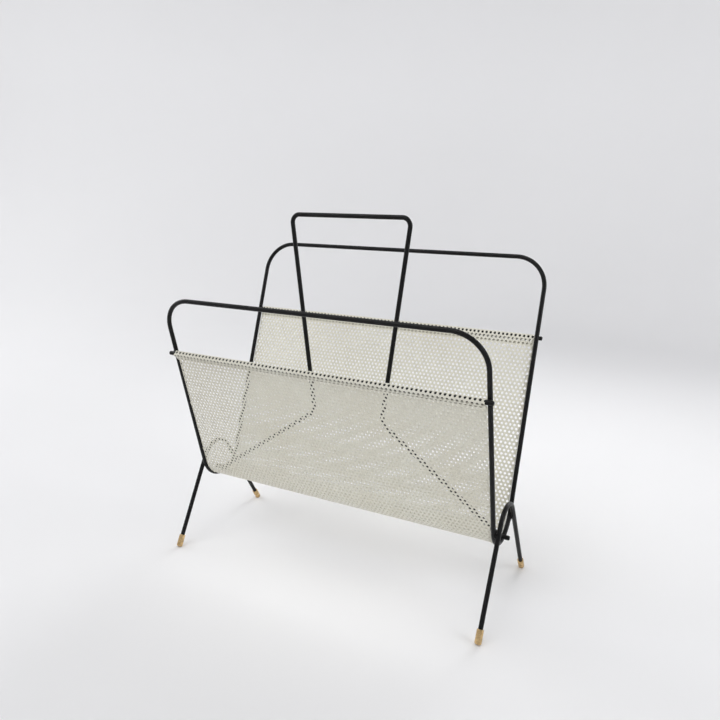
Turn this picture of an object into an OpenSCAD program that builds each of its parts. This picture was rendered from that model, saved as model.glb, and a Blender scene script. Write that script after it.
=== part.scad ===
// Wire-framed newspaper rack with a perforated sheet-metal trough.
// A closed loop of bent rod holds the trough; the trough's two top edges are rolled round
// rods that lie across the outside of the loop; a bent rod in the middle is the carrying
// handle and divider; two hairpins are the legs, each shod with a pair of ferrules.
// X runs along the rack, -Y is the low front wall, +Y the high back wall, Z is up.
// The origin is on the floor, under the middle of the rack's outer box.

/* [Frame loop] */
// Diameter of the frame, handle and leg rod
wire_d = 5.2; // [4:0.1:6]
// Distance between the centres of the loop's left and right sides
frame_w = 390; // [300:1:480]
// Height of the front bar's centre above the floor
front_bar_z = 324; // [300:1:360]
// Height of the back bar's centre above the floor
back_bar_z = 375.7; // [340:1:400]
// Lean of the front side from the vertical
front_lean = 14.8; // [8:0.1:22]
// Lean of the back side from the vertical
back_lean = 18.7; // [8:0.1:24]
// Centreline radius of the four top corners
corner_r = 37; // [20:1:60]
// Centreline radius of the bend at the bottom of each end
end_bend_r = 34.3; // [28:0.1:40]
// Height of the centre of those bends above the floor
end_bend_z = 110.1; // [105:0.1:125]

/* [Trough] */
// Thickness of the trough's sheet
sheet_t = 0.8; // [0.6:0.1:1.2]
// Gap between the sheet's cut side edges and the frame rod
sheet_side_gap = 0.4; // [0.2:0.1:3]
// Height of the front hem rod's centre above the floor
front_hem_z = 256.6; // [220:1:280]
// Height of the back hem rod's centre above the floor
back_hem_z = 285.6; // [240:1:320]
// Angle at which the hem's free flange closes back on the wall
hem_close = 30; // [20:1:40]

/* [Hem rods] */
// Diameter of the rods inside the hems
rod_d = 4.9; // [4:0.1:6]
// Length of the hem rods
rod_len = 400.8; // [398:0.1:406]
// Radial clearance of the hem on its rod
hem_clearance = 0.1; // [0.05:0.05:0.3]

/* [Handle] */
// Height of the handle bar's centre above the floor
handle_z = 421.2; // [400:1:450]
// Distance between the handle's two top corners, at the bar
handle_top_w = 151.8; // [120:1:180]
// Distance between the handle's two waist bends
handle_waist_w = 91.2; // [70:1:120]
// Height of the waist bends above the floor
handle_waist_z = 186; // [160:1:220]
// Centreline radius of the handle's top corners
handle_corner_r = 9; // [6:1:16]
// Centreline radius of the waist bends
handle_waist_r = 14; // [8:1:24]
// Centreline radius of the bends above the handle's feet
handle_foot_r = 7; // [5:1:10]
// Overall distance between the handle's two end faces
handle_foot_w = 409; // [404:1:416]

/* [Legs] */
// Lean of the front legs from the vertical
front_leg_lean = 28.6; // [20:0.1:36]
// Lean of the back legs from the vertical
back_leg_lean = 31.7; // [20:0.1:36]
// Centreline radius of the arch at the top of each hairpin
leg_arch_r = 27.1; // [22:0.1:32]
// Height of the arch's top, at the rod's centre, above the floor
leg_top_z = 119.7; // [110:0.1:135]

/* [Ferrules] */
// Outside diameter of a ferrule
ferrule_d = 7.4; // [6.8:0.1:10]
// Length of a ferrule along its leg
ferrule_len = 15; // [10:0.5:20]
// Depth of solid metal between the leg's end and the ferrule's end
ferrule_end = 3; // [2:0.5:5]
// How much of the ferrule's lower edge is worn flat
ferrule_wear = 0.5; // [0.3:0.1:0.8]
// Rounding of the ferrule's lower edge
ferrule_round = 1.6; // [1:0.1:2]

/* [Welds] */
// Radius of the weld bead where two rods cross
weld_r = 3; // [2.4:0.1:3.6]

/* [Hidden] */
$fn = 64;

wire_r = wire_d / 2;
rod_r = rod_d / 2;
half_w = frame_w / 2;

// Outward offsets from the loop's own plane: the rods touch the loop, the hem wraps the rods
rod_offset = wire_r + rod_r;
hem_r = rod_r + hem_clearance + sheet_t / 2;

// The end bend's centre is y = 0 while the rack is laid out; all is then moved by shift_y
front_side_len = (front_bar_z - end_bend_z + end_bend_r * sin(front_lean)) / cos(front_lean);
back_side_len = (back_bar_z - end_bend_z + end_bend_r * sin(back_lean)) / cos(back_lean);
front_bar_y = -end_bend_r * cos(front_lean) - front_side_len * sin(front_lean);
back_bar_y = end_bend_r * cos(back_lean) + back_side_len * sin(back_lean);
shift_y = -(front_bar_y + back_bar_y) / 2;

// How far up a leaning side, from the end bend, something at height z on offset is
function run_up(z, lean, offset) =
    (z - end_bend_z + (end_bend_r + offset) * sin(lean)) / cos(lean);
front_hem_run = run_up(front_hem_z, front_lean, rod_offset);
back_hem_run = run_up(back_hem_z, back_lean, rod_offset);

// The sheet is tangent to the bottom bend's radius inside it and to the hem's curl outside it
function hem_reach(run) = norm([end_bend_r + rod_offset, run]);
function wall_extra(run) =
    acos((end_bend_r + hem_r) / hem_reach(run)) - atan2(run, end_bend_r + rod_offset);
function wall_len(run) = sqrt(pow(hem_reach(run), 2) - pow(end_bend_r + hem_r, 2));
front_wall_lean = front_lean + wall_extra(front_hem_run);
back_wall_lean = back_lean + wall_extra(back_hem_run);

// The flange runs from the curl until its edge lies on the wall, just clear of it
flange_gap = 0.05 * sheet_t;
hem_flange = (hem_r * (1 + cos(hem_close)) - sheet_t - flange_gap) / sin(hem_close);
sheet_w = frame_w - wire_d - 2 * sheet_side_gap;

// Legs stand just outside the loop's ends and touch them
leg_x = half_w + wire_d;
leg_arch_z = leg_top_z - leg_arch_r;
// The hairpin's arch stands a little in front of the end bend's centre
leg_arch_y = -2.5;
front_leg_len = (leg_arch_z + leg_arch_r * sin(front_leg_lean)) / cos(front_leg_lean);
back_leg_len = (leg_arch_z + leg_arch_r * sin(back_leg_lean)) / cos(back_leg_lean);

// The handle's feet lie on top of the end bends, and turn level a little inside them
handle_foot_z = end_bend_z - end_bend_r + wire_d;
handle_foot_in = 1.5;
handle_foot_x = half_w - handle_foot_in;

// Length of the taper on the cut ends of rods, and how much it takes off their radius
end_round = 1.2;
end_taper = 0.7;
// Every bend is this much slimmer all round than the straights, and runs a little into them
slim = 0.03;
function lap_angle(bend_r) = acos(1 - slim / (3 * bend_r));

enamel_black = [0.06, 0.06, 0.065];
enamel_cream = [0.88, 0.86, 0.79];
ferrule_brass = [0.80, 0.64, 0.38];

// Puts a shape drawn in local X and Y into the rack's upright Y-Z plane, at height x along X
module end_plane(x = 0) {
    translate([x, shift_y, 0])
        rotate([90, 0, 90])
            children();
}

// Straight rod along +Z
module straight(len, r = wire_r) {
    cylinder(h = len, r = r);
}

// Curved rod in the local X-Y plane, centred on the origin
module bend(bend_r, from, sweep, r = wire_r) {
    lap = lap_angle(bend_r);
    rotate_extrude(angle = sweep + 2 * lap, start = from - lap)
        translate([bend_r, 0])
            circle(r - slim);
}

// Curved sheet of the trough's full width, in the local X-Y plane, centred on the origin
module sheet_bend(bend_r, from, sweep) {
    lap = lap_angle(bend_r);
    rotate_extrude(angle = sweep + 2 * lap, start = from - lap)
        translate([bend_r - sheet_t / 2 + slim, slim])
            square([sheet_t - 2 * slim, sheet_w - 2 * slim]);
}

// Straight rod with softened ends, centred on the origin along Z
module cross_rod(len, r) {
    flat = len - 2 * end_round;
    translate([0, 0, -flat / 2])
        straight(flat, r);
    for (side = [0, 1])
        mirror([0, 0, side])
            translate([0, 0, flat / 2])
                cylinder(h = end_round, r1 = r, r2 = r - end_taper);
}

// Inverted U that stands in the X-Z plane on z = 0: one half of the frame loop
module inverted_u(len) {
    side = len - corner_r;
    for (s = [-1, 1]) {
        translate([s * half_w, 0, 0])
            straight(side);
        translate([s * (half_w - corner_r), 0, side])
            rotate([90, 0, 0])
                bend(corner_r, s > 0 ? 0 : 90, 90);
    }
    translate([corner_r - half_w, 0, len])
        rotate([0, 90, 0])
            straight(frame_w - 2 * corner_r);
}

// One closed loop of rod: front U, back U and the bend that joins them at each end
module frame_loop() {
    color(enamel_black) {
        translate([0, shift_y, end_bend_z]) {
            translate([0, -end_bend_r * cos(front_lean), -end_bend_r * sin(front_lean)])
                rotate([front_lean, 0, 0])
                    inverted_u(front_side_len);
            translate([0, end_bend_r * cos(back_lean), -end_bend_r * sin(back_lean)])
                rotate([-back_lean, 0, 0])
                    inverted_u(back_side_len);
        }
        for (s = [-1, 1])
            end_plane(s * half_w)
                translate([0, end_bend_z])
                    bend(end_bend_r, 180 + front_lean, 180 - front_lean - back_lean);
    }
}

// Moves to the centre of a hem rod on the back side, in the end plane
module at_hem(lean, run) {
    rotate(-lean)
        translate([end_bend_r + hem_r, wall_len(run)])
            children();
}

// One wall of the trough with its teardrop hem, leaning towards local +X
module wall(lean, run) {
    rotate(-lean)
        translate([end_bend_r - sheet_t / 2, 0, 0])
            cube([sheet_t, wall_len(run), sheet_w]);
    at_hem(lean, run) {
        sheet_bend(hem_r, -hem_close, 180 + hem_close);
        rotate(-hem_close)
            translate([hem_r - sheet_t / 2, -hem_flange, 0])
                cube([sheet_t, hem_flange, sheet_w]);
    }
}

// Sheet bent to a deep trough, its top edges folded outwards over the hem rods
module perforated_trough() {
    color(enamel_cream)
        end_plane(-sheet_w / 2)
            translate([0, end_bend_z, 0]) {
                sheet_bend(end_bend_r, 180 + front_wall_lean,
                           180 - front_wall_lean - back_wall_lean);
                wall(back_wall_lean, back_hem_run);
                mirror([1, 0, 0])
                    wall(front_wall_lean, front_hem_run);
            }
}

module back_hem_rod() {
    color(enamel_black)
        end_plane()
            translate([0, end_bend_z, 0])
                at_hem(back_wall_lean, back_hem_run)
                    cross_rod(rod_len, rod_r);
}

module front_hem_rod() {
    color(enamel_black)
        end_plane()
            translate([0, end_bend_z, 0])
                mirror([1, 0, 0])
                    at_hem(front_wall_lean, front_hem_run)
                        cross_rod(rod_len, rod_r);
}

// Angle of the line from one point to another, in a plane
function heading(from, to) = atan2(to[1] - from[1], to[0] - from[0]);
// Length that a rounded corner takes off each of its two sides
function corner_take(turn, r) = r * tan(abs(turn) / 2);

// Rod along a line, less what the rounded corners at its two ends take
module leg_of_path(from, to, take_from, take_to) {
    translate([from[0], from[1], 0])
        rotate([0, 0, heading(from, to)])
            rotate([0, 90, 0])
                translate([0, 0, take_from])
                    straight(norm(to - from) - take_from - take_to);
}

// Rounded corner of a rod that arrives at p on heading a_in and leaves on heading a_out
module corner_of_path(p, a_in, a_out, r) {
    turn = a_out - a_in;
    side = turn > 0 ? 1 : -1;
    take = corner_take(turn, r);
    start = p - take * [cos(a_in), sin(a_in)];
    centre = start + side * r * [-sin(a_in), cos(a_in)];
    translate([centre[0], centre[1], 0])
        bend(r, side > 0 ? a_in - 90 : a_out + 90, abs(turn));
}

// Right half of the handle, drawn in a plane from the middle of the bar to one foot
module half_handle() {
    middle = [0, handle_z];
    top = [handle_top_w / 2, handle_z];
    waist = [handle_waist_w / 2, handle_waist_z];
    ankle = [handle_foot_x, handle_foot_z];
    toe = [handle_foot_w / 2 - end_round, handle_foot_z];
    a_down = heading(top, waist);
    a_out = heading(waist, ankle);
    top_take = corner_take(a_down, handle_corner_r);
    waist_take = corner_take(a_out - a_down, handle_waist_r);
    ankle_take = corner_take(a_out, handle_foot_r);
    leg_of_path(middle, top, 0, top_take);
    corner_of_path(top, 0, a_down, handle_corner_r);
    leg_of_path(top, waist, top_take, waist_take);
    corner_of_path(waist, a_down, a_out, handle_waist_r);
    leg_of_path(waist, ankle, waist_take, ankle_take);
    corner_of_path(ankle, a_out, 0, handle_foot_r);
    leg_of_path(ankle, toe, ankle_take, 0);
    translate([toe[0], toe[1], 0])
        rotate([0, 90, 0])
            cylinder(h = end_round, r1 = wire_r, r2 = wire_r - end_taper);
}

// Carrying handle and divider, one rod in the rack's upright X-Z plane
module divider_handle() {
    color(enamel_black)
        translate([0, shift_y, 0])
            rotate([90, 0, 0])
                for (side = [0, 1])
                    mirror([side, 0, 0])
                        half_handle();
}

// Frame of one leg: local -Y runs down the leg from the arch
module leg_line(lean) {
    translate([leg_arch_y, leg_arch_z, 0])
        rotate(lean)
            translate([leg_arch_r, 0, 0])
                children();
}

// The front leg is the mirror image, about the arch's middle, of a back leg of its own lean
module front_leg_line(lean) {
    translate([2 * leg_arch_y, 0, 0])
        mirror([1, 0, 0])
            leg_line(lean)
                children();
}

module leg_rod(len) {
    rotate([90, 0, 0])
        straight(len - ferrule_end);
}

// Hairpin: an arch with two straight legs, crossing the outside of one end bend
module leg_hairpin(side) {
    color(enamel_black)
        end_plane(side * leg_x) {
            translate([leg_arch_y, leg_arch_z])
                bend(leg_arch_r, back_leg_lean, 180 - front_leg_lean - back_leg_lean);
            leg_line(back_leg_lean)
                leg_rod(back_leg_len);
            front_leg_line(front_leg_lean)
                leg_rod(front_leg_len);
        }
}

module left_leg_hairpin() {
    leg_hairpin(-1);
}

module right_leg_hairpin() {
    leg_hairpin(1);
}

// How far the leaning ferrule's lowest edge lies below its end's centre, along its leg
function ferrule_drop(lean) =
    ((ferrule_d / 2 - ferrule_round) * sin(lean) + ferrule_round * (1 - cos(lean))
     - ferrule_wear) / cos(lean);

// Turned cap with a blind bore, its closed end at the origin and its mouth towards +Z
module ferrule_body() {
    r = ferrule_d / 2;
    mouth_round = 0.6;
    difference() {
        rotate_extrude() {
            translate([0, ferrule_round])
                square([r, ferrule_len - ferrule_round - mouth_round]);
            square([r - ferrule_round, ferrule_len]);
            translate([r - ferrule_round, ferrule_round])
                circle(ferrule_round);
            translate([0, ferrule_len - mouth_round])
                square([r - mouth_round, mouth_round]);
        }
        translate([0, 0, ferrule_end])
            cylinder(h = ferrule_len, r = wire_r);
    }
}

// Ferrule on the foot of a leg of length len, worn flat where it stands on the floor
module ferrule(side, lean, len, is_front) {
    slab = 4 * ferrule_d;
    color(ferrule_brass)
        difference() {
            end_plane(side * leg_x)
                if (is_front)
                    front_leg_line(lean)
                        on_foot(lean, len);
                else
                    leg_line(lean)
                        on_foot(lean, len);
            translate([side * leg_x - slab / 2, -front_side_len, -slab])
                cube([slab, 2 * front_side_len, slab]);
        }
}

module on_foot(lean, len) {
    translate([0, ferrule_drop(lean) - len, 0])
        rotate([-90, 0, 0])
            ferrule_body();
}

module front_left_ferrule() {
    ferrule(-1, front_leg_lean, front_leg_len, true);
}

module front_right_ferrule() {
    ferrule(1, front_leg_lean, front_leg_len, true);
}

module back_left_ferrule() {
    ferrule(-1, back_leg_lean, back_leg_len, false);
}

module back_right_ferrule() {
    ferrule(1, back_leg_lean, back_leg_len, false);
}

module bead() {
    sphere(weld_r);
}

// Beads where the hem rods cross the sides of the loop
module hem_rod_welds() {
    color(enamel_black)
        for (s = [-1, 1])
            end_plane(s * half_w)
                translate([0, end_bend_z, 0]) {
                    rotate(-back_lean)
                        translate([end_bend_r + wire_r, back_hem_run, 0])
                            bead();
                    mirror([1, 0, 0])
                        rotate(-front_lean)
                            translate([end_bend_r + wire_r, front_hem_run, 0])
                                bead();
                }
}

// Where a leg of this lean crosses the end bend, on the back side, from the bend's centre
function leg_cross(lean, arch_y) =
    let (arch = [arch_y, leg_arch_z - end_bend_z],
         down = [sin(lean), -cos(lean)],
         start = arch + leg_arch_r * [cos(lean), sin(lean)],
         along = start * down)
    start + (sqrt(along * along - start * start + end_bend_r * end_bend_r) - along) * down;

// Beads where the legs cross the end bends
module leg_welds() {
    back_cross = leg_cross(back_leg_lean, leg_arch_y);
    front_cross = leg_cross(front_leg_lean, -leg_arch_y);
    color(enamel_black)
        for (s = [-1, 1])
            end_plane(s * (half_w + wire_r))
                translate([0, end_bend_z, 0]) {
                    translate(back_cross)
                        bead();
                    mirror([1, 0, 0])
                        translate(front_cross)
                            bead();
                }
}

// Beads where the handle's feet lie on the end bends
module handle_welds() {
    color(enamel_black)
        for (s = [-1, 1])
            translate([s * half_w, shift_y, handle_foot_z - wire_r])
                bead();
}

frame_loop();
perforated_trough();
front_hem_rod();
back_hem_rod();
divider_handle();
left_leg_hairpin();
right_leg_hairpin();
front_left_ferrule();
front_right_ferrule();
back_left_ferrule();
back_right_ferrule();
hem_rod_welds();
leg_welds();
handle_welds();
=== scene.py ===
import math

import bmesh
import bpy
import numpy as np
from mathutils import Matrix, Vector, noise


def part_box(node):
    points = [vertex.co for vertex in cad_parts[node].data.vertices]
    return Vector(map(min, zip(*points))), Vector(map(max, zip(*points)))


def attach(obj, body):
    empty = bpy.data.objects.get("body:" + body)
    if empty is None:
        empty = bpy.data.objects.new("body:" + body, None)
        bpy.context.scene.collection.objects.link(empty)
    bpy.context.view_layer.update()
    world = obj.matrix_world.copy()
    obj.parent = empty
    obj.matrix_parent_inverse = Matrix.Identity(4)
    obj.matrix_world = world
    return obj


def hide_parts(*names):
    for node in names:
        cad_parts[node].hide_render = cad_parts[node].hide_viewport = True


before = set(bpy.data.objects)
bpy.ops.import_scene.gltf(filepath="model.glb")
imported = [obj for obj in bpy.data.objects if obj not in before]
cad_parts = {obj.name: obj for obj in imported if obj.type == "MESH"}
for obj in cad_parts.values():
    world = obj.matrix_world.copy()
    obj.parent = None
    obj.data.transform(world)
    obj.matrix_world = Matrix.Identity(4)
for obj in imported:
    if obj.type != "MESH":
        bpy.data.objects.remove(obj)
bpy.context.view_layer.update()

bl_info = {
    "name": "Perforated Newspaper Rack",
    "version": (1, 0, 0),
    "blender": (4, 5, 0),
    "location": "View3D > Sidebar > Rack",
    "description": "Builds a newspaper rack of bent rod and perforated sheet round its frame",
    "category": "Object",
}

MM = 0.001
BODY = "root"

SHARP_EDGE = math.radians(40)
QUARTER_TURN = math.radians(90)

DOME_TURN = math.radians(80)
BEND_STEP_DEGREES = 6
LEAST_BEND_STEPS = 4

FERRULE_SIDES = 40
END_ROUND_STEPS = 6
MOUTH_ROUND_STEPS = 4

BEAD_LUMPS_PER_RADIUS = 1.7
BEAD_VARIETY = 90.0
BEAD_CORE = 0.93
BEAD_LUMP_HEIGHT = 0.09
BEAD_SQUASH = 0.9

HEM_GAP_IN_THICKNESSES = 1.05
HOLE_SIDES = 12
STRIP_LAP_ROWS = 5

COVE_CURVE = 0.9
COVE_TOP = 2.6
COVE_STEPS = 16
COVE_SIDES = 96


# ---------------------------------------------------------------- sizes read from the frame


def centre_of(node):
    low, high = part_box(node)
    return (low + high) / 2


def size_of(node):
    low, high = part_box(node)
    return high - low


WIRE_R = size_of("left_leg_hairpin").x / 2
ROD_R = size_of("front_hem_rod").z / 2
LOOP_LOW, LOOP_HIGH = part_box("frame_loop")
LOOP_X = LOOP_HIGH.x - WIRE_R


def length(name, description, default):
    return bpy.props.FloatProperty(
        name=name, description=description, default=default, unit="LENGTH"
    )


def angle(name, description, degrees):
    return bpy.props.FloatProperty(
        name=name, description=description, default=math.radians(degrees), subtype="ANGLE"
    )


def colour(name, description, default):
    return bpy.props.FloatVectorProperty(
        name=name,
        description=description,
        default=default,
        subtype="COLOR",
        size=3,
        min=0,
        max=1,
    )


class RackSizes(bpy.types.PropertyGroup):
    """Sizes that the frame's boxes don't give."""

    end_bend_radius: length(
        "End Bend Radius",
        "Centreline radius of the bend at the bottom of each end of the loop",
        34.3 * MM,
    )
    corner_radius: length(
        "Corner Radius", "Centreline radius of the loop's four top corners", 37 * MM
    )
    handle_top_width: length(
        "Handle Top Width", "Distance between the handle's two top corners", 151.8 * MM
    )
    handle_waist_width: length(
        "Handle Waist Width", "Distance between the handle's two waist bends", 91.2 * MM
    )
    handle_waist_height: length(
        "Handle Waist Height", "Height of the waist bends above the floor", 186 * MM
    )
    handle_foot_inset: length(
        "Handle Foot Inset",
        "How far inside the loop's sides the handle's feet turn level",
        1.5 * MM,
    )
    handle_corner_radius: length(
        "Handle Corner Radius", "Centreline radius of the handle's top corners", 9 * MM
    )
    handle_waist_radius: length(
        "Handle Waist Radius", "Centreline radius of the handle's waist bends", 14 * MM
    )
    handle_foot_radius: length(
        "Handle Foot Radius", "Centreline radius of the bends above the handle's feet", 7 * MM
    )
    leg_arch_radius: length(
        "Leg Arch Radius", "Centreline radius of the arch at the top of each hairpin", 27.1 * MM
    )
    leg_arch_shift: length(
        "Leg Arch Shift", "How far the arch stands in front of the end bend's centre", 2.5 * MM
    )
    front_leg_lean: angle("Front Leg Lean", "Lean of the front legs from the vertical", 28.6)
    back_leg_lean: angle("Back Leg Lean", "Lean of the back legs from the vertical", 31.7)
    rod_sides: bpy.props.IntProperty(
        name="Rod Sides",
        description="Number of sides of each round rod",
        default=28,
        min=8,
        max=64,
    )
    rod_end_round: length(
        "Rod End Rounding", "Length of the rounding on the cut ends of rods", 1.2 * MM
    )


class TroughSizes(bpy.types.PropertyGroup):
    """Sizes of the perforated sheet."""

    thickness: length("Thickness", "Thickness of the sheet", 0.8 * MM)
    hole_diameter: length("Hole Diameter", "Diameter of the round holes", 3 * MM)
    hole_pitch: length(
        "Hole Pitch", "Distance between neighbouring holes, in a triangular pattern", 5 * MM
    )
    hem_clearance: length(
        "Hem Clearance", "Gap between the hem rod and the sheet curled round it", 0.1 * MM
    )
    hem_close: angle(
        "Hem Closing Angle", "Angle at which the hem's flange closes back on the wall", 30
    )
    edge_margin: length(
        "Edge Margin",
        "Distance of the first row of holes from the front hem's free edge",
        5.5 * MM,
    )


class FerruleSizes(bpy.types.PropertyGroup):
    """Sizes of the caps on the legs."""

    diameter: length("Diameter", "Outside diameter", 7.4 * MM)
    length: length("Length", "Length along the leg", 15 * MM)
    end_thickness: length(
        "End Thickness", "Solid metal between the leg's end and the ferrule's end", 3 * MM
    )
    end_round: length("End Rounding", "Rounding of the lower edge", 1.6 * MM)
    mouth_round: length("Mouth Rounding", "Rounding of the edge round the leg", 0.6 * MM)
    wear: length("Wear", "How much of the lower edge is worn flat by the floor", 0.5 * MM)


class RackFinish(bpy.types.PropertyGroup):
    """Colours of the finishes."""

    black: colour("Rod Enamel", "Black enamel on the rods", (0.0030, 0.0030, 0.0034))
    black_dusty: colour("Rod Dust", "What settles on top of the rods", (0.022, 0.021, 0.019))
    cream: colour("Sheet Enamel", "Cream enamel on the sheet", (0.81, 0.795, 0.70))
    cream_aged: colour("Aged Sheet Enamel", "Where the cream has yellowed", (0.77, 0.74, 0.63))
    hole_dirt: colour("Hole Dirt", "What gathers at the holes' edges", (0.46, 0.43, 0.36))
    brass: colour("Ferrule Brass", "Polished part of the ferrules", (0.76, 0.54, 0.27))
    brass_tarnish: colour("Brass Tarnish", "Dull part of the ferrules", (0.36, 0.25, 0.13))


class RackStage(bpy.types.PropertyGroup):
    """Camera, floor and lamps."""

    camera_place: bpy.props.FloatVectorProperty(
        name="Camera Place",
        description="Where the camera stands, from the middle of the rack's foot",
        default=(0.3671, -0.6806, 0.4440),
        subtype="TRANSLATION",
        size=3,
    )
    camera_heading: angle("Camera Heading", "How far the camera turns to the left of +Y", 27.87)
    camera_tilt: angle("Camera Tilt", "How far the camera looks down", 13.90)
    camera_roll: angle("Camera Roll", "How far the camera leans over", 0.74)
    camera_lens: bpy.props.FloatProperty(
        name="Camera Lens",
        description="Focal length in millimetres on a sensor 36 mm wide",
        default=33.35,
    )
    floor: colour("Floor", "Pale seamless floor", (0.86, 0.86, 0.87))
    cove_radius: length(
        "Cove Radius", "How far the level floor reaches before it curves up", 1.5
    )
    sky: bpy.props.FloatProperty(
        name="Sky",
        description="Strength of the even light from all round",
        default=0.20,
    )
    key: bpy.props.FloatProperty(
        name="Key Lamp",
        description="Power of the large soft lamp above and in front, in watts",
        default=25,
    )
    sides: bpy.props.FloatProperty(
        name="Side Lamps",
        description="Power of each of the two soft lamps beside the rack, in watts",
        default=10,
    )
    fill: bpy.props.FloatProperty(
        name="Low Fill Lamp",
        description="Power of the low lamp behind that lifts the rack's shadow, in watts",
        default=1.5,
    )


# ---------------------------------------------------------------- shared layout


def settings():
    return bpy.context.scene.rack


class RackSettings(bpy.types.PropertyGroup):
    """Everything that a user may change."""

    sizes: bpy.props.PointerProperty(type=RackSizes)
    trough: bpy.props.PointerProperty(type=TroughSizes)
    ferrule: bpy.props.PointerProperty(type=FerruleSizes)
    finish: bpy.props.PointerProperty(type=RackFinish)
    stage: bpy.props.PointerProperty(type=RackStage)


def end_bend_centre():
    """Centre of the right-hand end bend of the loop."""
    height = LOOP_LOW.z + WIRE_R + settings().sizes.end_bend_radius
    return Vector((LOOP_X, centre_of("divider_handle").y, height))


def tangent_lean(out, up, reach):
    """Lean of a line whose distances from two centres, out and up apart, add up to reach."""
    return math.acos(reach / math.hypot(out, up)) - math.atan2(up, out)


def rod_from_bend(side):
    """How far a hem rod lies out from and above the end bend's centre; side is -1 in front."""
    rod = centre_of("front_hem_rod" if side < 0 else "back_hem_rod")
    bend = end_bend_centre()
    return side * (rod.y - bend.y), rod.z - bend.z


def loop_lean(side):
    reach = settings().sizes.end_bend_radius + WIRE_R + ROD_R
    return tangent_lean(*rod_from_bend(side), reach)


def finish_piece(bm, name, material, slot, *nodes, sharp=SHARP_EDGE):
    """Turns a bmesh into a shown piece that rides on the rack and stands for CAD nodes."""
    mesh = bpy.data.meshes.new(name)
    bm.to_mesh(mesh)
    bm.free()
    return show_mesh(mesh, name, material, slot, *nodes, sharp=sharp)


def show_mesh(mesh, name, material, slot, *nodes, sharp=SHARP_EDGE):
    mesh.shade_smooth()
    mesh.set_sharp_from_angle(angle=sharp)
    mesh.materials.append(material)
    piece = bpy.data.objects.new(name, mesh)
    bpy.context.scene.collection.objects.link(piece)
    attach(piece, BODY)
    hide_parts(*nodes)
    return piece


# ---------------------------------------------------------------- node groups and materials


def new_group(name, inputs, outputs):
    """An empty shader group with sockets given as (name, socket type, default)."""
    tree = bpy.data.node_groups.new(name, "ShaderNodeTree")
    for label, kind, default in inputs:
        socket = tree.interface.new_socket(label, in_out="INPUT", socket_type=kind)
        if default is not None:
            socket.default_value = default
    for label, kind in outputs:
        tree.interface.new_socket(label, in_out="OUTPUT", socket_type=kind)
    start = tree.nodes.new("NodeGroupInput")
    end = tree.nodes.new("NodeGroupOutput")
    return tree, start, end


def maths(tree, operation, a, b=None, clamp=False):
    node = tree.nodes.new("ShaderNodeMath")
    node.operation = operation
    node.use_clamp = clamp
    for socket, value in zip(node.inputs, (a, b)):
        if isinstance(value, (int, float)):
            socket.default_value = value
        elif value is not None:
            tree.links.new(value, socket)
    return node.outputs[0]


def noise_at(tree, vector, scale, detail=2.0, roughness=0.5):
    node = tree.nodes.new("ShaderNodeTexNoise")
    tree.links.new(vector, node.inputs["Vector"])
    if isinstance(scale, (int, float)):
        node.inputs["Scale"].default_value = scale
    else:
        tree.links.new(scale, node.inputs["Scale"])
    node.inputs["Detail"].default_value = detail
    node.inputs["Roughness"].default_value = roughness
    return node.outputs["Fac"]


def ramp(tree, value, low, high):
    """Straight ramp from 0 at low to 1 at high."""
    node = tree.nodes.new("ShaderNodeMapRange")
    node.clamp = True
    tree.links.new(value, node.inputs["Value"])
    node.inputs["From Min"].default_value = low
    node.inputs["From Max"].default_value = high
    return node.outputs["Result"]


def orange_peel_group():
    """Height of sprayed enamel: a fine ripple on a slower swell."""
    tree, start, end = new_group(
        "Orange Peel",
        [("Vector", "NodeSocketVector", None), ("Scale", "NodeSocketFloat", 900.0)],
        [("Height", "NodeSocketFloat")],
    )
    fine = noise_at(tree, start.outputs["Vector"], start.outputs["Scale"], 1.0)
    slow_scale = maths(tree, "MULTIPLY", start.outputs["Scale"], 0.3)
    slow = noise_at(tree, start.outputs["Vector"], slow_scale, 1.0)
    total = maths(tree, "ADD", fine, maths(tree, "MULTIPLY", slow, 1.5))
    tree.links.new(total, end.inputs["Height"])
    return tree


def mottle_group():
    """Slow cloudy mask, as uneven gloss or yellowing makes."""
    tree, start, end = new_group(
        "Mottle",
        [("Vector", "NodeSocketVector", None), ("Scale", "NodeSocketFloat", 14.0)],
        [("Mask", "NodeSocketFloat")],
    )
    cloud = noise_at(tree, start.outputs["Vector"], start.outputs["Scale"], 4.0, 0.6)
    tree.links.new(ramp(tree, cloud, 0.35, 0.70), end.inputs["Mask"])
    return tree


def settled_dust_group():
    """Mask of what lies on faces that look up."""
    tree, start, end = new_group(
        "Settled Dust",
        [("Vector", "NodeSocketVector", None), ("Amount", "NodeSocketFloat", 0.5)],
        [("Mask", "NodeSocketFloat")],
    )
    geometry = tree.nodes.new("ShaderNodeNewGeometry")
    split = tree.nodes.new("ShaderNodeSeparateXYZ")
    tree.links.new(geometry.outputs["Normal"], split.inputs[0])
    up = ramp(tree, split.outputs["Z"], 0.35, 1.0)
    patchy = ramp(tree, noise_at(tree, start.outputs["Vector"], 120.0, 5.0, 0.65), 0.30, 0.75)
    lying = maths(tree, "MULTIPLY", up, patchy)
    mask = maths(tree, "MULTIPLY", lying, start.outputs["Amount"])
    tree.links.new(mask, end.inputs["Mask"])
    return tree


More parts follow.
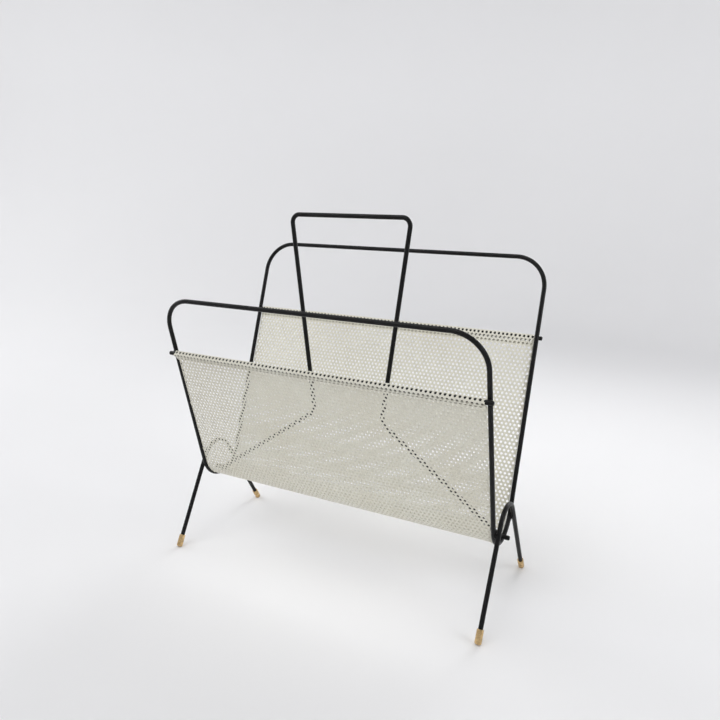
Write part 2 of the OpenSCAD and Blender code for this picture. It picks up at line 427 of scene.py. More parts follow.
def fine_specks_group():
    """Mask of sparse pinpricks and small chips."""
    tree, start, end = new_group(
        "Fine Specks",
        [
            ("Vector", "NodeSocketVector", None),
            ("Scale", "NodeSocketFloat", 260.0),
            ("Spread", "NodeSocketFloat", 0.10),
        ],
        [("Mask", "NodeSocketFloat")],
    )
    cells = tree.nodes.new("ShaderNodeTexVoronoi")
    tree.links.new(start.outputs["Vector"], cells.inputs["Vector"])
    tree.links.new(start.outputs["Scale"], cells.inputs["Scale"])
    near = maths(tree, "LESS_THAN", cells.outputs["Distance"], start.outputs["Spread"])
    split = tree.nodes.new("ShaderNodeSeparateColor")
    tree.links.new(cells.outputs["Color"], split.inputs[0])
    chosen = maths(tree, "GREATER_THAN", split.outputs[0], 0.72)
    tree.links.new(maths(tree, "MULTIPLY", near, chosen), end.inputs["Mask"])
    return tree


def shared(name, make):
    return bpy.data.node_groups.get(name) or make()


def place_group(tree, group, vector, **values):
    node = tree.nodes.new("ShaderNodeGroup")
    node.node_tree = group
    tree.links.new(vector, node.inputs["Vector"])
    for label, value in values.items():
        node.inputs[label].default_value = value
    return node.outputs[0]


def blend_colour(tree, mask, under, over):
    node = tree.nodes.new("ShaderNodeMix")
    node.data_type = "RGBA"
    tree.links.new(mask, node.inputs["Factor"])
    for label, value in (("A", under), ("B", over)):
        socket = next(s for s in node.inputs if s.name == label and s.type == "RGBA")
        if isinstance(value, bpy.types.NodeSocket):
            tree.links.new(value, socket)
        else:
            socket.default_value = (*value, 1.0)
    return next(s for s in node.outputs if s.type == "RGBA")


def new_material(name):
    """A material with its Principled shader, its node tree and its Object coordinates."""
    material = bpy.data.materials.new(name)
    material.use_nodes = True
    tree = material.node_tree
    shader = tree.nodes["Principled BSDF"]
    place = tree.nodes.new("ShaderNodeTexCoord").outputs["Object"]
    return material, tree, shader, place


def add_bump(tree, shader, height, distance, strength=1.0):
    bump = tree.nodes.new("ShaderNodeBump")
    bump.inputs["Distance"].default_value = distance
    bump.inputs["Strength"].default_value = strength
    tree.links.new(height, bump.inputs["Height"])
    tree.links.new(bump.outputs["Normal"], shader.inputs["Normal"])


def black_enamel():
    """Satin black enamel, a little dusty on top and rubbed in places."""
    if "Black Enamel" in bpy.data.materials:
        return bpy.data.materials["Black Enamel"]
    finish = settings().finish
    material, tree, shader, place = new_material("Black Enamel")
    shader.inputs["Specular IOR Level"].default_value = 0.22
    dust = place_group(tree, shared("Settled Dust", settled_dust_group), place, Amount=0.4)
    specks = place_group(
        tree, shared("Fine Specks", fine_specks_group), place, Scale=420.0, Spread=0.12
    )
    mottle = place_group(tree, shared("Mottle", mottle_group), place, Scale=30.0)
    dusty = blend_colour(tree, dust, finish.black, finish.black_dusty)
    chips = maths(tree, "MULTIPLY", specks, 0.6)
    speckled = blend_colour(tree, chips, dusty, finish.black_dusty)
    tree.links.new(speckled, shader.inputs["Base Color"])
    gloss = maths(tree, "ADD", maths(tree, "MULTIPLY", mottle, 0.12), 0.30)
    rough = maths(tree, "ADD", gloss, maths(tree, "MULTIPLY", dust, 0.25))
    tree.links.new(rough, shader.inputs["Roughness"])
    peel = place_group(tree, shared("Orange Peel", orange_peel_group), place, Scale=1100.0)
    add_bump(tree, shader, peel, 0.03 * MM)
    return material


def cream_enamel():
    """Satin cream enamel with slow yellowing, and dirt at the holes' edges."""
    if "Cream Enamel" in bpy.data.materials:
        return bpy.data.materials["Cream Enamel"]
    finish = settings().finish
    material, tree, shader, place = new_material("Cream Enamel")
    mottle = place_group(tree, shared("Mottle", mottle_group), place, Scale=11.0)
    specks = place_group(
        tree, shared("Fine Specks", fine_specks_group), place, Scale=150.0, Spread=0.07
    )
    rim = tree.nodes.new("ShaderNodeAttribute")
    rim.attribute_name = "hole_rim"
    patchy = noise_at(tree, place, 45.0, 4.0, 0.65)
    dirt = maths(tree, "MULTIPLY", ramp(tree, rim.outputs["Fac"], 0.55, 1.0), patchy)
    aged = blend_colour(tree, mottle, finish.cream, finish.cream_aged)
    dirty = blend_colour(tree, maths(tree, "MULTIPLY", dirt, 0.5), aged, finish.hole_dirt)
    chips = maths(tree, "MULTIPLY", specks, 0.55)
    speckled = blend_colour(tree, chips, dirty, finish.hole_dirt)
    tree.links.new(speckled, shader.inputs["Base Color"])
    rough = maths(tree, "ADD", maths(tree, "MULTIPLY", mottle, 0.14), 0.36)
    tree.links.new(rough, shader.inputs["Roughness"])
    peel = place_group(tree, shared("Orange Peel", orange_peel_group), place, Scale=1300.0)
    add_bump(tree, shader, peel, 0.02 * MM)
    return material


def ferrule_brass():
    """Brass with soft tarnish and fine turning marks."""
    if "Ferrule Brass" in bpy.data.materials:
        return bpy.data.materials["Ferrule Brass"]
    finish = settings().finish
    material, tree, shader, place = new_material("Ferrule Brass")
    shader.inputs["Metallic"].default_value = 1.0
    tarnish = place_group(tree, shared("Mottle", mottle_group), place, Scale=230.0)
    specks = place_group(
        tree, shared("Fine Specks", fine_specks_group), place, Scale=700.0, Spread=0.2
    )
    base = blend_colour(
        tree, maths(tree, "MULTIPLY", tarnish, 0.75), finish.brass, finish.brass_tarnish
    )
    pits = maths(tree, "MULTIPLY", specks, 0.5)
    pitted = blend_colour(tree, pits, base, finish.brass_tarnish)
    tree.links.new(pitted, shader.inputs["Base Color"])
    rough = maths(tree, "ADD", maths(tree, "MULTIPLY", tarnish, 0.2), 0.20)
    tree.links.new(rough, shader.inputs["Roughness"])
    squash = tree.nodes.new("ShaderNodeMapping")
    squash.inputs["Scale"].default_value = (0.25, 0.25, 6.0)
    tree.links.new(place, squash.inputs["Vector"])
    add_bump(tree, shader, noise_at(tree, squash.outputs[0], 900.0, 2.0), 0.02 * MM)
    return material


def studio_paper():
    """Pale seamless paper with a faint tooth."""
    material, tree, shader, place = new_material("Studio Paper")
    cloud = place_group(tree, shared("Mottle", mottle_group), place, Scale=1.2)
    base = settings().stage.floor
    deeper = tuple(c * 0.985 for c in base)
    tree.links.new(blend_colour(tree, cloud, base, deeper), shader.inputs["Base Color"])
    shader.inputs["Roughness"].default_value = 0.75
    shader.inputs["Specular IOR Level"].default_value = 0.25
    add_bump(tree, shader, noise_at(tree, place, 700.0, 2.0), 0.02 * MM)
    return material


# ---------------------------------------------------------------- bent rod


def edges_in(geometry):
    return [g for g in geometry if isinstance(g, bmesh.types.BMEdge)]


def verts_in(geometry):
    return [g for g in geometry if isinstance(g, bmesh.types.BMVert)]


def whole(bm):
    return bm.verts[:] + bm.edges[:] + bm.faces[:]


def verts_of(edges):
    return list({v for e in edges for v in e.verts})


def run_on(bm, ring, step):
    """Draws a ring of edges straight on by step and returns the new ring."""
    made = bmesh.ops.extrude_edge_only(bm, edges=ring)["geom"]
    bmesh.ops.translate(bm, verts=verts_in(made), vec=step)
    return edges_in_ring(made, ring)


def edges_in_ring(made, old_ring):
    """The new edges that lie wholly on new vertices."""
    old = set(verts_of(old_ring))
    return [e for e in edges_in(made) if not (set(e.verts) & old)]


def close_round(bm, ring, middle, heading, radius, length, steps=4):
    """Domes the open end of a rod and closes it."""
    done = 0.0
    scale = 1.0
    for i in range(1, steps + 1):
        turn = DOME_TURN * i / steps
        travel = length * math.sin(turn)
        wanted = 1.0 - (1.0 - math.cos(turn)) * length / radius
        ring = run_on(bm, ring, heading * (travel - done))
        at = middle + heading * travel
        bmesh.ops.scale(
            bm,
            verts=verts_of(ring),
            vec=Vector((wanted / scale,) * 3),
            space=Matrix.Translation(-at),
        )
        done, scale = travel, wanted
    bmesh.ops.contextual_create(bm, geom=ring)


def bend_rod(bm, corners, radii, rod_radius, sides, end_length=0.0):
    """Bends a rod along straight runs, with a spun bend of its own radius at each corner."""
    heading = (corners[1] - corners[0]).normalized()
    turned = heading.to_track_quat("Z", "Y").to_matrix().to_4x4()
    upright = Matrix.Translation(corners[0]) @ turned
    circle = bmesh.ops.create_circle(bm, segments=sides, radius=rod_radius, matrix=upright)
    made = circle["verts"]
    ring = list({e for v in made for e in v.link_edges})
    taken = 0.0
    for i in range(1, len(corners)):
        into = (corners[i] - corners[i - 1]).normalized()
        length = (corners[i] - corners[i - 1]).length
        if i == len(corners) - 1:
            ring = run_on(bm, ring, into * (length - taken))
            break
        out = (corners[i + 1] - corners[i]).normalized()
        turn = into.angle(out)
        take = radii[i - 1] * math.tan(turn / 2)
        ring = run_on(bm, ring, into * (length - taken - take))
        axis = into.cross(out).normalized()
        pivot = corners[i] - into * take + axis.cross(into) * radii[i - 1]
        steps = max(LEAST_BEND_STEPS, round(math.degrees(turn) / BEND_STEP_DEGREES))
        spun = bmesh.ops.spin(
            bm,
            geom=verts_of(ring) + ring,
            cent=pivot,
            axis=axis,
            angle=turn,
            steps=steps,
            use_duplicate=False,
        )
        ring = edges_in(spun["geom_last"])
        taken = take
    if end_length:
        close_round(bm, ring, corners[-1], into, rod_radius, end_length)


def mirror_across(bm):
    """Adds the mirror image across the plane X = 0 and merges the two halves."""
    bmesh.ops.mirror(bm, geom=whole(bm), axis="X", merge_dist=0)
    bmesh.ops.remove_doubles(bm, verts=bm.verts[:], dist=0.005 * MM)
    bmesh.ops.recalc_face_normals(bm, faces=bm.faces[:])


def frame_loop_corners():
    """Right half of the loop, from the front bar's middle to the back bar's middle."""
    radius = settings().sizes.end_bend_radius
    bend = end_bend_centre()
    front, back = loop_lean(-1), loop_lean(1)
    front_y, back_y = LOOP_LOW.y + WIRE_R, LOOP_HIGH.y - WIRE_R
    front_z = bend.z + ((bend.y - front_y) * math.cos(front) - radius) / math.sin(front)
    back_z = LOOP_HIGH.z - WIRE_R
    drop = radius * (math.cos(front) + math.cos(back)) / math.sin(front + back)
    foot_y = bend.y + (radius - drop * math.sin(back)) / math.cos(back)
    return [
        Vector((0, front_y, front_z)),
        Vector((LOOP_X, front_y, front_z)),
        Vector((LOOP_X, foot_y, bend.z - drop)),
        Vector((LOOP_X, back_y, back_z)),
        Vector((0, back_y, back_z)),
    ]


def make_frame_loop():
    sizes = settings().sizes
    bm = bmesh.new()
    radii = [sizes.corner_radius, sizes.end_bend_radius, sizes.corner_radius]
    bend_rod(bm, frame_loop_corners(), radii, WIRE_R, sizes.rod_sides)
    mirror_across(bm)
    finish_piece(bm, "frame_loop_rod", black_enamel(), "black_enamel", "frame_loop")


def make_handle():
    sizes = settings().sizes
    low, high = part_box("divider_handle")
    y = centre_of("divider_handle").y
    foot_z = low.z + WIRE_R
    corners = [
        Vector((0, y, high.z - WIRE_R)),
        Vector((sizes.handle_top_width / 2, y, high.z - WIRE_R)),
        Vector((sizes.handle_waist_width / 2, y, sizes.handle_waist_height)),
        Vector((LOOP_X - sizes.handle_foot_inset, y, foot_z)),
        Vector((high.x - sizes.rod_end_round, y, foot_z)),
    ]
    radii = [sizes.handle_corner_radius, sizes.handle_waist_radius, sizes.handle_foot_radius]
    bm = bmesh.new()
    bend_rod(bm, corners, radii, WIRE_R, sizes.rod_sides, sizes.rod_end_round)
    mirror_across(bm)
    finish_piece(bm, "divider_handle_rod", black_enamel(), "black_enamel", "divider_handle")


def make_hem_rod(node):
    sizes = settings().sizes
    middle = centre_of(node)
    end_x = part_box(node)[1].x - sizes.rod_end_round
    corners = [Vector((0, middle.y, middle.z)), Vector((end_x, middle.y, middle.z))]
    bm = bmesh.new()
    bend_rod(bm, corners, [], ROD_R, sizes.rod_sides, sizes.rod_end_round)
    mirror_across(bm)
    finish_piece(bm, f"{node}_bar", black_enamel(), "black_enamel", node)


def leg_lines():
    """Floor point of the front leg, the apex where the two lines meet, and the back leg's."""
    sizes = settings().sizes
    radius = sizes.leg_arch_radius
    front, back = sizes.front_leg_lean, sizes.back_leg_lean
    arch_y = end_bend_centre().y - sizes.leg_arch_shift
    arch_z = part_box("left_leg_hairpin")[1].z - WIRE_R - radius
    rise = radius * (math.cos(front) + math.cos(back)) / math.sin(front + back)
    apex_y = arch_y + (radius - rise * math.sin(back)) / math.cos(back)
    front_y = arch_y - (arch_z * math.sin(front) + radius) / math.cos(front)
    back_y = arch_y + (arch_z * math.sin(back) + radius) / math.cos(back)
    return Vector((0, front_y, 0)), Vector((0, apex_y, arch_z + rise)), Vector((0, back_y, 0))


def make_hairpin(node):
    sizes = settings().sizes
    across = Vector((centre_of(node).x, 0, 0))
    front, apex, back = (p + across for p in leg_lines())
    end = settings().ferrule.end_thickness
    start = front + (apex - front).normalized() * end
    stop = back + (apex - back).normalized() * end
    bm = bmesh.new()
    bend_rod(bm, [start, apex, stop], [sizes.leg_arch_radius], WIRE_R, sizes.rod_sides)
    bmesh.ops.holes_fill(bm, edges=[e for e in bm.edges if e.is_boundary], sides=0)
    bmesh.ops.recalc_face_normals(bm, faces=bm.faces[:])
    finish_piece(bm, f"{node}_rod", black_enamel(), "black_enamel", node)


# ---------------------------------------------------------------- ferrules


def ferrule_outline():
    """Half section of a ferrule, from its closed end's middle round to its bore's floor."""
    f = settings().ferrule
    r = f.diameter / 2
    points = [Vector((0, 0, 0))]
    for i in range(END_ROUND_STEPS + 1):
        turn = QUARTER_TURN * i / END_ROUND_STEPS
        x = r - f.end_round + f.end_round * math.sin(turn)
        points.append(Vector((x, 0, f.end_round * (1 - math.cos(turn)))))
    for i in range(MOUTH_ROUND_STEPS + 1):
        turn = QUARTER_TURN * i / MOUTH_ROUND_STEPS
        x = r - f.mouth_round + f.mouth_round * math.cos(turn)
        z = f.length - f.mouth_round + f.mouth_round * math.sin(turn)
        points.append(Vector((x, 0, z)))
    points.append(Vector((WIRE_R, 0, f.length)))
    points.append(Vector((WIRE_R, 0, f.end_thickness)))
    points.append(Vector((0, 0, f.end_thickness)))
    return points


def make_ferrule(node, is_front):
    f = settings().ferrule
    front, apex, back = leg_lines()
    foot = front if is_front else back
    up_leg = (apex - foot).normalized()
    lean = up_leg.angle(Vector((0, 0, 1)))
    edge_drop = (f.diameter / 2 - f.end_round) * math.sin(lean)
    edge_drop += f.end_round * (1 - math.cos(lean))
    start = foot + up_leg * (edge_drop - f.wear) / math.cos(lean)
    start.x = centre_of(node).x
    bm = bmesh.new()
    verts = [bm.verts.new(p) for p in ferrule_outline()]
    line = [bm.edges.new(pair) for pair in zip(verts, verts[1:])]
    bmesh.ops.spin(
        bm,
        geom=verts + line,
        cent=(0, 0, 0),
        axis=(0, 0, 1),
        angle=math.tau,
        steps=FERRULE_SIDES,
        use_merge=True,
        use_duplicate=False,
    )
    bmesh.ops.remove_doubles(bm, verts=bm.verts[:], dist=0.001 * MM)
    turn = up_leg.to_track_quat("Z", "Y").to_matrix().to_4x4()
    bmesh.ops.transform(bm, matrix=Matrix.Translation(start) @ turn, verts=bm.verts[:])
    bmesh.ops.bisect_plane(
        bm,
        geom=whole(bm),
        dist=0.0001 * MM,
        plane_co=(0, 0, 0),
        plane_no=(0, 0, -1),
        clear_outer=True,
    )
    bmesh.ops.holes_fill(bm, edges=[e for e in bm.edges if e.is_boundary], sides=0)
    bmesh.ops.recalc_face_normals(bm, faces=bm.faces[:])
    finish_piece(bm, f"{node}_cap", ferrule_brass(), "ferrule_brass", node)


# ---------------------------------------------------------------- weld beads


def weld_bead(bm, middle, shape):
    """A lumpy bead: a ball stretched to shape and roughened by noise."""
    made = bmesh.ops.create_icosphere(bm, subdivisions=3, radius=1.0)["verts"]
    for v in made:
        lump = noise.noise(v.co * BEAD_LUMPS_PER_RADIUS + middle * BEAD_VARIETY)
        v.co *= BEAD_CORE + BEAD_LUMP_HEIGHT * lump
        v.co = Vector(c * s for c, s in zip(v.co, shape)) + middle


def make_welds(node, middles, shape):
    bm = bmesh.new()
    for middle in middles:
        weld_bead(bm, middle, shape)
    finish_piece(bm, f"{node}_beads", black_enamel(), "black_enamel", node, sharp=math.pi)


def weld_middles(node, front_is_low):
    """Middles of the four beads that make a node, from its box."""
    low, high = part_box(node)
    r = size_of("handle_welds").z / 2
    front_z, back_z = (low.z + r, high.z - r) if front_is_low else (high.z - r, low.z + r)
    x = high.x - r
    spots = ((low.y + r, front_z), (high.y - r, back_z))
    return [Vector((s * x, y, z)) for s in (-1, 1) for y, z in spots]


def handle_weld_middles():
    low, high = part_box("handle_welds")
    middle = (low + high) / 2
    x = high.x - (high.z - low.z) / 2
    return [Vector((s * x, middle.y, middle.z)) for s in (-1, 1)]


# ---------------------------------------------------------------- perforated trough


def hem_radius():
    t = settings().trough
    return ROD_R + t.hem_clearance + t.thickness / 2


def hem_flange():
    t = settings().trough
    gap = t.thickness * HEM_GAP_IN_THICKNESSES
    return (hem_radius() * (1 + math.cos(t.hem_close)) - gap) / math.sin(t.hem_close)


def wall_lean(side):
    return tangent_lean(*rod_from_bend(side), settings().sizes.end_bend_radius + hem_radius())


def wall_length(side):
    reach = settings().sizes.end_bend_radius + hem_radius()
    return math.sqrt(math.hypot(*rod_from_bend(side)) ** 2 - reach**2)


def trough_runs():
    """The section as (length, turn to the left) runs, from the front hem's free edge."""
    bend = settings().sizes.end_bend_radius
    curl = math.pi + settings().trough.hem_close
    bottom = math.pi - wall_lean(-1) - wall_lean(1)
    return [
        (hem_flange(), 0.0),
        (hem_radius() * curl, -curl),
        (wall_length(-1), 0.0),
        (bend * bottom, bottom),
        (wall_length(1), 0.0),
        (hem_radius() * curl, -curl),
        (hem_flange(), 0.0),
    ]


def trough_start():
    """Where the section starts, at the front hem's free edge, and its heading there."""
    close = settings().trough.hem_close
    lean = wall_lean(-1)
    rod = centre_of("front_hem_rod")
    heading = QUARTER_TURN + lean + close
    along = np.array([math.cos(heading), math.sin(heading)])
    outwards = np.array([-along[1], along[0]])
    start = np.array([rod.y, rod.z]) + outwards * hem_radius() - along * hem_flange()
    return start, heading


def bend_sheet(flat):
    """Bends flat points (across, along, through) to the trough's section."""
    bent = np.empty_like(flat)
    bent[:, 0] = flat[:, 0]
    at, heading = trough_start()
    done = 0.0
    runs = trough_runs()
    total = sum(length for length, _ in runs)
    for i, (length, turn) in enumerate(runs):
        first, last = i == 0, i == len(runs) - 1
        low = -1.0 if first else done
        high = total + 1.0 if last else done + length
        here = (flat[:, 1] >= low) & (flat[:, 1] < high)
        u = flat[here, 1] - done
        angle = heading + turn * u / length
        y, z = walk(at, heading, length, turn, u)
        bent[here, 1] = y - np.sin(angle) * flat[here, 2]
        bent[here, 2] = z + np.cos(angle) * flat[here, 2]
        end_y, end_z = walk(at, heading, length, turn, np.array([length]))
        at = np.array([end_y[0], end_z[0]])
        heading += turn
        done += length
    return bent


def walk(at, heading, length, turn, u):
    """Points at distances u along a straight or round run."""
    if turn == 0.0:
        return at[0] + u * math.cos(heading), at[1] + u * math.sin(heading)
    radius = length / turn
    angle = heading + turn * u / length
    y = at[0] + radius * (np.sin(angle) - math.sin(heading))
    z = at[1] - radius * (np.cos(angle) - math.cos(heading))
    return y, z


def copy_by(bm, geometry, step):
    made = bmesh.ops.duplicate(bm, geom=geometry)["geom"]
    bmesh.ops.translate(bm, verts=verts_in(made), vec=step)
    return made


def hexagon(bm, pitch):
    """Edges of a hexagon standing on a point, with a vertex at the middle of each side."""
    reach = pitch / math.sqrt(3)
    made = bmesh.ops.create_circle(bm, segments=HOLE_SIDES, radius=reach)["verts"]
    for v in made[1::2]:
        v.co *= math.sqrt(3) / 2
    return list({e for v in made for e in v.link_edges})


def pierced_cell(bm, pitch, hole):
    """One hexagon of sheet with its round hole; the hole's vertices are marked as its rim."""
    rim = bm.verts.layers.float.get("hole_rim") or bm.verts.layers.float.new("hole_rim")
    outside = hexagon(bm, pitch)
    made = bmesh.ops.create_circle(bm, segments=HOLE_SIDES, radius=hole / 2)["verts"]
    for v in made:
        v[rim] = 1.0
    inside = list({e for v in made for e in v.link_edges})
    faces = bmesh.ops.bridge_loops(bm, edges=outside + inside)["faces"]
    return faces + verts_of(outside + inside) + list({e for f in faces for e in f.edges})


def plain_cell(bm, pitch):
    """One hexagon of sheet with no hole."""
    outside = hexagon(bm, pitch)
    face = bmesh.ops.contextual_create(bm, geom=outside)["faces"]
    return face + verts_of(outside) + outside


def row_of(bm, cells, middles):
    """Copies of a cell at each distance across."""
    made = []
    for x in middles:
        made += copy_by(bm, cells, Vector((x, 0, 0)))
    return made


class HolePattern:
    """Where the holes lie on the flat sheet: rows across it, every other one shifted."""

    def __init__(self):
        t = settings().trough
        self.pitch = t.hole_pitch
        self.step = t.hole_pitch * math.sqrt(3) / 2
        self.width = size_of("perforated_trough").x
        self.length = sum(length for length, _ in trough_runs())
        self.rows = 1 + int((self.length - 2 * t.edge_margin) / self.step)
        self.first = t.edge_margin
        self.across = 1 + int((self.width - t.hole_diameter) / self.pitch)

    def middles(self, row, plain=False):
        """Distances across of a row's holes, or of the plain cells beyond its ends."""
        long_row = row % 2 == 1
        count = self.across if long_row else self.across - 1
        holes = [(i - (count - 1) / 2) * self.pitch for i in range(count)]
        beyond = [holes[0] - self.pitch, holes[-1] + self.pitch]
        return beyond if plain else holes

    def row_near(self, along):
        return round((along - self.first) / self.step)


def flat_strip(pattern, first, last):
    """Flat perforated sheet with rows first to last, cut straight halfway to the next rows."""
    t = settings().trough
    bm = bmesh.new()
    pierced = pierced_cell(bm, t.hole_pitch, t.hole_diameter)
    plain = plain_cell(bm, t.hole_pitch)
    templates = pierced + plain
    kinds = []
    for parity in (0, 1):
        holes = row_of(bm, pierced, pattern.middles(parity))
        kinds.append(holes + row_of(bm, plain, pattern.middles(parity, plain=True)))
        templates += kinds[-1]
    blank = row_of(bm, plain, pattern.middles(1) + pattern.middles(1, plain=True))
    templates += blank
    for row in range(first, last + 1):
        copy_by(bm, kinds[row % 2], Vector((0, pattern.first + row * pattern.step, 0)))
    for row in (first - 1, last + 1):
        if 0 <= row < pattern.rows:
            copy_by(bm, kinds[row % 2], Vector((0, pattern.first + row * pattern.step, 0)))
    for row in (*range(-2, first), *range(last + 1, pattern.rows + 2)):
        if row < 0 or row >= pattern.rows:
            shift = 0 if row % 2 == 1 else pattern.pitch / 2
            copy_by(bm, blank, Vector((shift, pattern.first + row * pattern.step, 0)))
    bmesh.ops.delete(bm, geom=verts_in(templates), context="VERTS")
    bmesh.ops.remove_doubles(bm, verts=bm.verts[:], dist=0.01 * MM)
    low = 0.0 if first == 0 else pattern.first + (first - 0.5) * pattern.step
    high = pattern.length
    if last < pattern.rows - 1:
        high = pattern.first + (last + 0.5) * pattern.step
    half = pattern.width / 2
    cuts = [((-half, 0, 0), (-1, 0, 0)), ((half, 0, 0), (1, 0, 0))]
    cuts += [((0, low, 0), (0, -1, 0)), ((0, high, 0), (0, 1, 0))]
    for point, normal in cuts:
        bmesh.ops.bisect_plane(
            bm,
            geom=whole(bm),
            dist=0.0005 * MM,
            plane_co=point,
            plane_no=normal,
            clear_outer=True,
        )
    return bm


def make_strip(pattern, name, first, last):
    """One closed strip of the trough, bent to its section."""
    thickness = settings().trough.thickness
    bm = flat_strip(pattern, first, last)
    bmesh.ops.solidify(bm, geom=bm.faces[:], thickness=thickness)
    bmesh.ops.triangulate(bm, faces=[f for f in bm.faces if len(f.verts) > 4])
    mesh = bpy.data.meshes.new(name)
    bm.to_mesh(mesh)
    bm.free()
    flat = np.empty(len(mesh.vertices) * 3, np.float32)
    mesh.vertices.foreach_get("co", flat)
    flat = flat.reshape(-1, 3).astype(float)
    flat[:, 2] -= (flat[:, 2].min() + flat[:, 2].max()) / 2
    mesh.vertices.foreach_set("co", bend_sheet(flat).astype(np.float32).ravel())
    if signed_volume(mesh) < 0:
        mesh.flip_normals()
    mesh.update()
    show_mesh(mesh, name, cream_enamel(), "cream_enamel", "perforated_trough")


def signed_volume(mesh):
    """Six times the mesh's volume; negative where its faces point inwards."""
    mesh.calc_loop_triangles()
    co = np.empty(len(mesh.vertices) * 3, np.float32)
    mesh.vertices.foreach_get("co", co)
    co = co.reshape(-1, 3).astype(float)
    tri = np.empty(len(mesh.loop_triangles) * 3, np.int32)
    mesh.loop_triangles.foreach_get("vertices", tri)
    a, b, c = (co[tri.reshape(-1, 3)[:, i]] for i in range(3))
    return float(np.einsum("ij,ij->i", a, np.cross(b, c)).sum())


def make_trough():
    """The whole sheet, in strips that are cut between rows of holes on the flat walls."""
    pattern = HolePattern()
    runs = [length for length, _ in trough_runs()]
    front_wall_ends = runs[0] + runs[1] + runs[2]
    back_wall_starts = front_wall_ends + runs[3]
    back_wall_middle = back_wall_starts + runs[4] / 2
    lap = STRIP_LAP_ROWS * pattern.step
    cuts = [
        pattern.row_near(front_wall_ends / 2),
        pattern.row_near(front_wall_ends - lap),
        pattern.row_near(back_wall_starts + lap),
        pattern.row_near(back_wall_middle + lap),
        pattern.rows,
    ]
    names = ["front_upper", "front_lower", "bottom", "back_lower", "back_upper"]
    start = 0
    for name, stop in zip(names, cuts):
        make_strip(pattern, f"trough_{name}", start, stop - 1)
        start = stop


# ---------------------------------------------------------------- stage


def make_camera():
    stage = settings().stage
    camera = bpy.data.cameras.new("Camera")
    camera.lens = stage.camera_lens
    camera.sensor_width = 36.0
    camera.clip_start = 0.01
    camera.clip_end = 20.0
    camera.dof.use_dof = False
    holder = bpy.data.objects.new("Camera", camera)
    turn = Matrix.Rotation(stage.camera_heading, 4, "Z")
    turn = turn @ Matrix.Rotation(QUARTER_TURN - stage.camera_tilt, 4, "X")
    turn = turn @ Matrix.Rotation(stage.camera_roll, 4, "Z")
    holder.matrix_world = Matrix.Translation(stage.camera_place) @ turn
    bpy.context.scene.collection.objects.link(holder)
    bpy.context.scene.camera = holder


def make_floor():
    """Level floor that curves up all round, so that no horizon shows from any side."""
    stage = settings().stage
    flat = stage.cove_radius
    bm = bmesh.new()
    outline = [Vector((0, 0, 0)), Vector((flat / 2, 0, 0))]
    for i in range(COVE_STEPS + 1):
        turn = QUARTER_TURN * i / COVE_STEPS
        x = flat + COVE_CURVE * math.sin(turn)
        outline.append(Vector((x, 0, COVE_CURVE * (1 - math.cos(turn)))))
    outline.append(Vector((flat + COVE_CURVE, 0, COVE_TOP)))
    verts = [bm.verts.new(p) for p in outline]
    line = [bm.edges.new(pair) for pair in zip(verts, verts[1:])]
    bmesh.ops.spin(
        bm,
        geom=verts + line,
        cent=(0, 0, 0),
        axis=(0, 0, 1),
        angle=math.tau,
        steps=COVE_SIDES,
        use_merge=True,
        use_duplicate=False,
    )
    bmesh.ops.remove_doubles(bm, verts=bm.verts[:], dist=0.1 * MM)
    bmesh.ops.recalc_face_normals(bm, faces=bm.faces[:])
    middle = min(bm.faces, key=lambda f: f.calc_center_median().length)
    if middle.normal.z < 0:
        bmesh.ops.reverse_faces(bm, faces=bm.faces[:])
    mesh = bpy.data.meshes.new("studio_floor")
    bm.to_mesh(mesh)
    bm.free()
    mesh.shade_smooth()
    mesh.materials.append(studio_paper())
    floor = bpy.data.objects.new("studio_floor", mesh)
    bpy.context.scene.collection.objects.link(floor)


def make_lamp(name, place, aim, size, power, spread):
    lamp = bpy.data.lights.new(name, "AREA")
    lamp.shape = "RECTANGLE"
    lamp.size, lamp.size_y = size
    lamp.energy = power
    lamp.spread = math.radians(spread)
    holder = bpy.data.objects.new(name, lamp)
    holder.visible_camera = False
    place = Vector(place)
    holder.matrix_world = (
        Matrix.Translation(place)
        @ (Vector(aim) - place).to_track_quat("-Z", "Y").to_matrix().to_4x4()
    )
    bpy.context.scene.collection.objects.link(holder)


def make_light():
    stage = settings().stage
    world = bpy.data.worlds.new("Even Sky")
    world.use_nodes = True
    sky = world.node_tree.nodes["Background"]
    sky.inputs["Color"].default_value = (0.97, 0.98, 1.0, 1.0)
    sky.inputs["Strength"].default_value = stage.sky
    bpy.context.scene.world = world
    aim = (0, 0.1, 0.1)
    make_lamp("key_softbox", (-0.45, -0.9, 2.2), aim, (2.0, 2.0), stage.key, 180)
    for name, side in (("left_softbox", -1), ("right_softbox", 1)):
        make_lamp(name, (side * 1.9, 0.2, 1.1), (0, 1.4, 0.5), (1.4, 1.1), stage.sides, 150)
    make_lamp("low_fill", (0.1, 1.8, 0.8), (0, -0.05, 0), (1.2, 0.5), stage.fill, 50)
    bpy.context.scene.view_settings.view_transform = "Standard"


# ---------------------------------------------------------------- operators and panel


class RACK_OT_stage(bpy.types.Operator):
    """Make the camera, the floor and the lamps"""

    bl_idname = "rack.stage"
    bl_label = "Stage"

    def execute(self, context):
        make_camera()
        make_floor()
        make_light()
        return {"FINISHED"}


class RACK_OT_frame_loop(bpy.types.Operator):
    """Bend the closed loop that carries the trough"""

    bl_idname = "rack.frame_loop"
    bl_label = "Frame Loop"

    def execute(self, context):
        make_frame_loop()
        return {"FINISHED"}


class RACK_OT_handle(bpy.types.Operator):
    """Bend the carrying handle that divides the trough"""

    bl_idname = "rack.handle"
    bl_label = "Divider Handle"

    def execute(self, context):
        make_handle()
        return {"FINISHED"}


class RACK_OT_hem_rods(bpy.types.Operator):
    """Lay the two rods inside the trough's hems"""

    bl_idname = "rack.hem_rods"
    bl_label = "Hem Rods"

    def execute(self, context):
        for node in ("front_hem_rod", "back_hem_rod"):
            make_hem_rod(node)
        return {"FINISHED"}


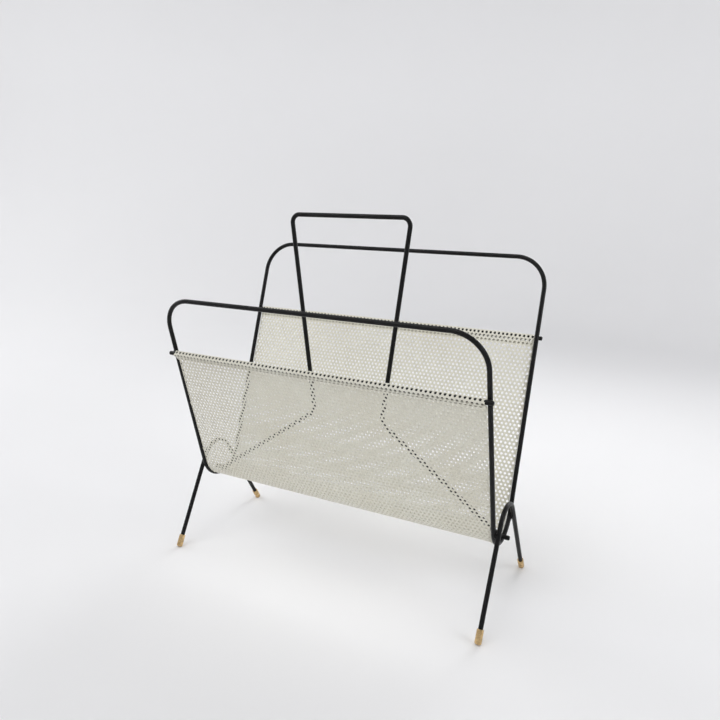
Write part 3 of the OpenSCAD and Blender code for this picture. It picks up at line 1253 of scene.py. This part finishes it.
class RACK_OT_hairpins(bpy.types.Operator):
    """Bend the two hairpin legs"""

    bl_idname = "rack.hairpins"
    bl_label = "Hairpin Legs"

    def execute(self, context):
        for node in ("left_leg_hairpin", "right_leg_hairpin"):
            make_hairpin(node)
        return {"FINISHED"}


class RACK_OT_ferrules(bpy.types.Operator):
    """Turn the four ferrules on the legs"""

    bl_idname = "rack.ferrules"
    bl_label = "Ferrules"

    def execute(self, context):
        for end in ("front", "back"):
            for side in ("left", "right"):
                make_ferrule(f"{end}_{side}_ferrule", end == "front")
        return {"FINISHED"}


class RACK_OT_trough(bpy.types.Operator):
    """Perforate the sheet and bend it to the trough with its hems"""

    bl_idname = "rack.trough"
    bl_label = "Perforated Trough"

    def execute(self, context):
        make_trough()
        return {"FINISHED"}


class RACK_OT_welds(bpy.types.Operator):
    """Lay the weld beads where rods cross"""

    bl_idname = "rack.welds"
    bl_label = "Weld Beads"

    def execute(self, context):
        r = size_of("handle_welds").z / 2
        make_welds("hem_rod_welds", weld_middles("hem_rod_welds", True), (r, r, r))
        make_welds("leg_welds", weld_middles("leg_welds", False), (r * BEAD_SQUASH, r, r))
        make_welds("handle_welds", handle_weld_middles(), (r, r, r * BEAD_SQUASH))
        return {"FINISHED"}


OPERATORS = (
    RACK_OT_stage,
    RACK_OT_frame_loop,
    RACK_OT_handle,
    RACK_OT_hem_rods,
    RACK_OT_hairpins,
    RACK_OT_ferrules,
    RACK_OT_trough,
    RACK_OT_welds,
)


class RACK_PT_pieces(bpy.types.Panel):
    """Lists the rack's pieces"""

    bl_idname = "RACK_PT_pieces"
    bl_label = "Newspaper Rack"
    bl_space_type = "VIEW_3D"
    bl_region_type = "UI"
    bl_category = "Rack"

    def draw(self, context):
        for operator in OPERATORS:
            self.layout.operator(operator.bl_idname)


CLASSES = (
    RackSizes,
    TroughSizes,
    FerruleSizes,
    RackFinish,
    RackStage,
    RackSettings,
    *OPERATORS,
    RACK_PT_pieces,
)


def register():
    for cls in CLASSES:
        bpy.utils.register_class(cls)
    bpy.types.Scene.rack = bpy.props.PointerProperty(type=RackSettings)


def unregister():
    del bpy.types.Scene.rack
    for cls in reversed(CLASSES):
        bpy.utils.unregister_class(cls)


def main():
    register()
    for operator in OPERATORS:
        group, name = operator.bl_idname.split(".")
        getattr(getattr(bpy.ops, group), name)()
    bpy.context.view_layer.update()


if __name__ == "__main__":
    main()
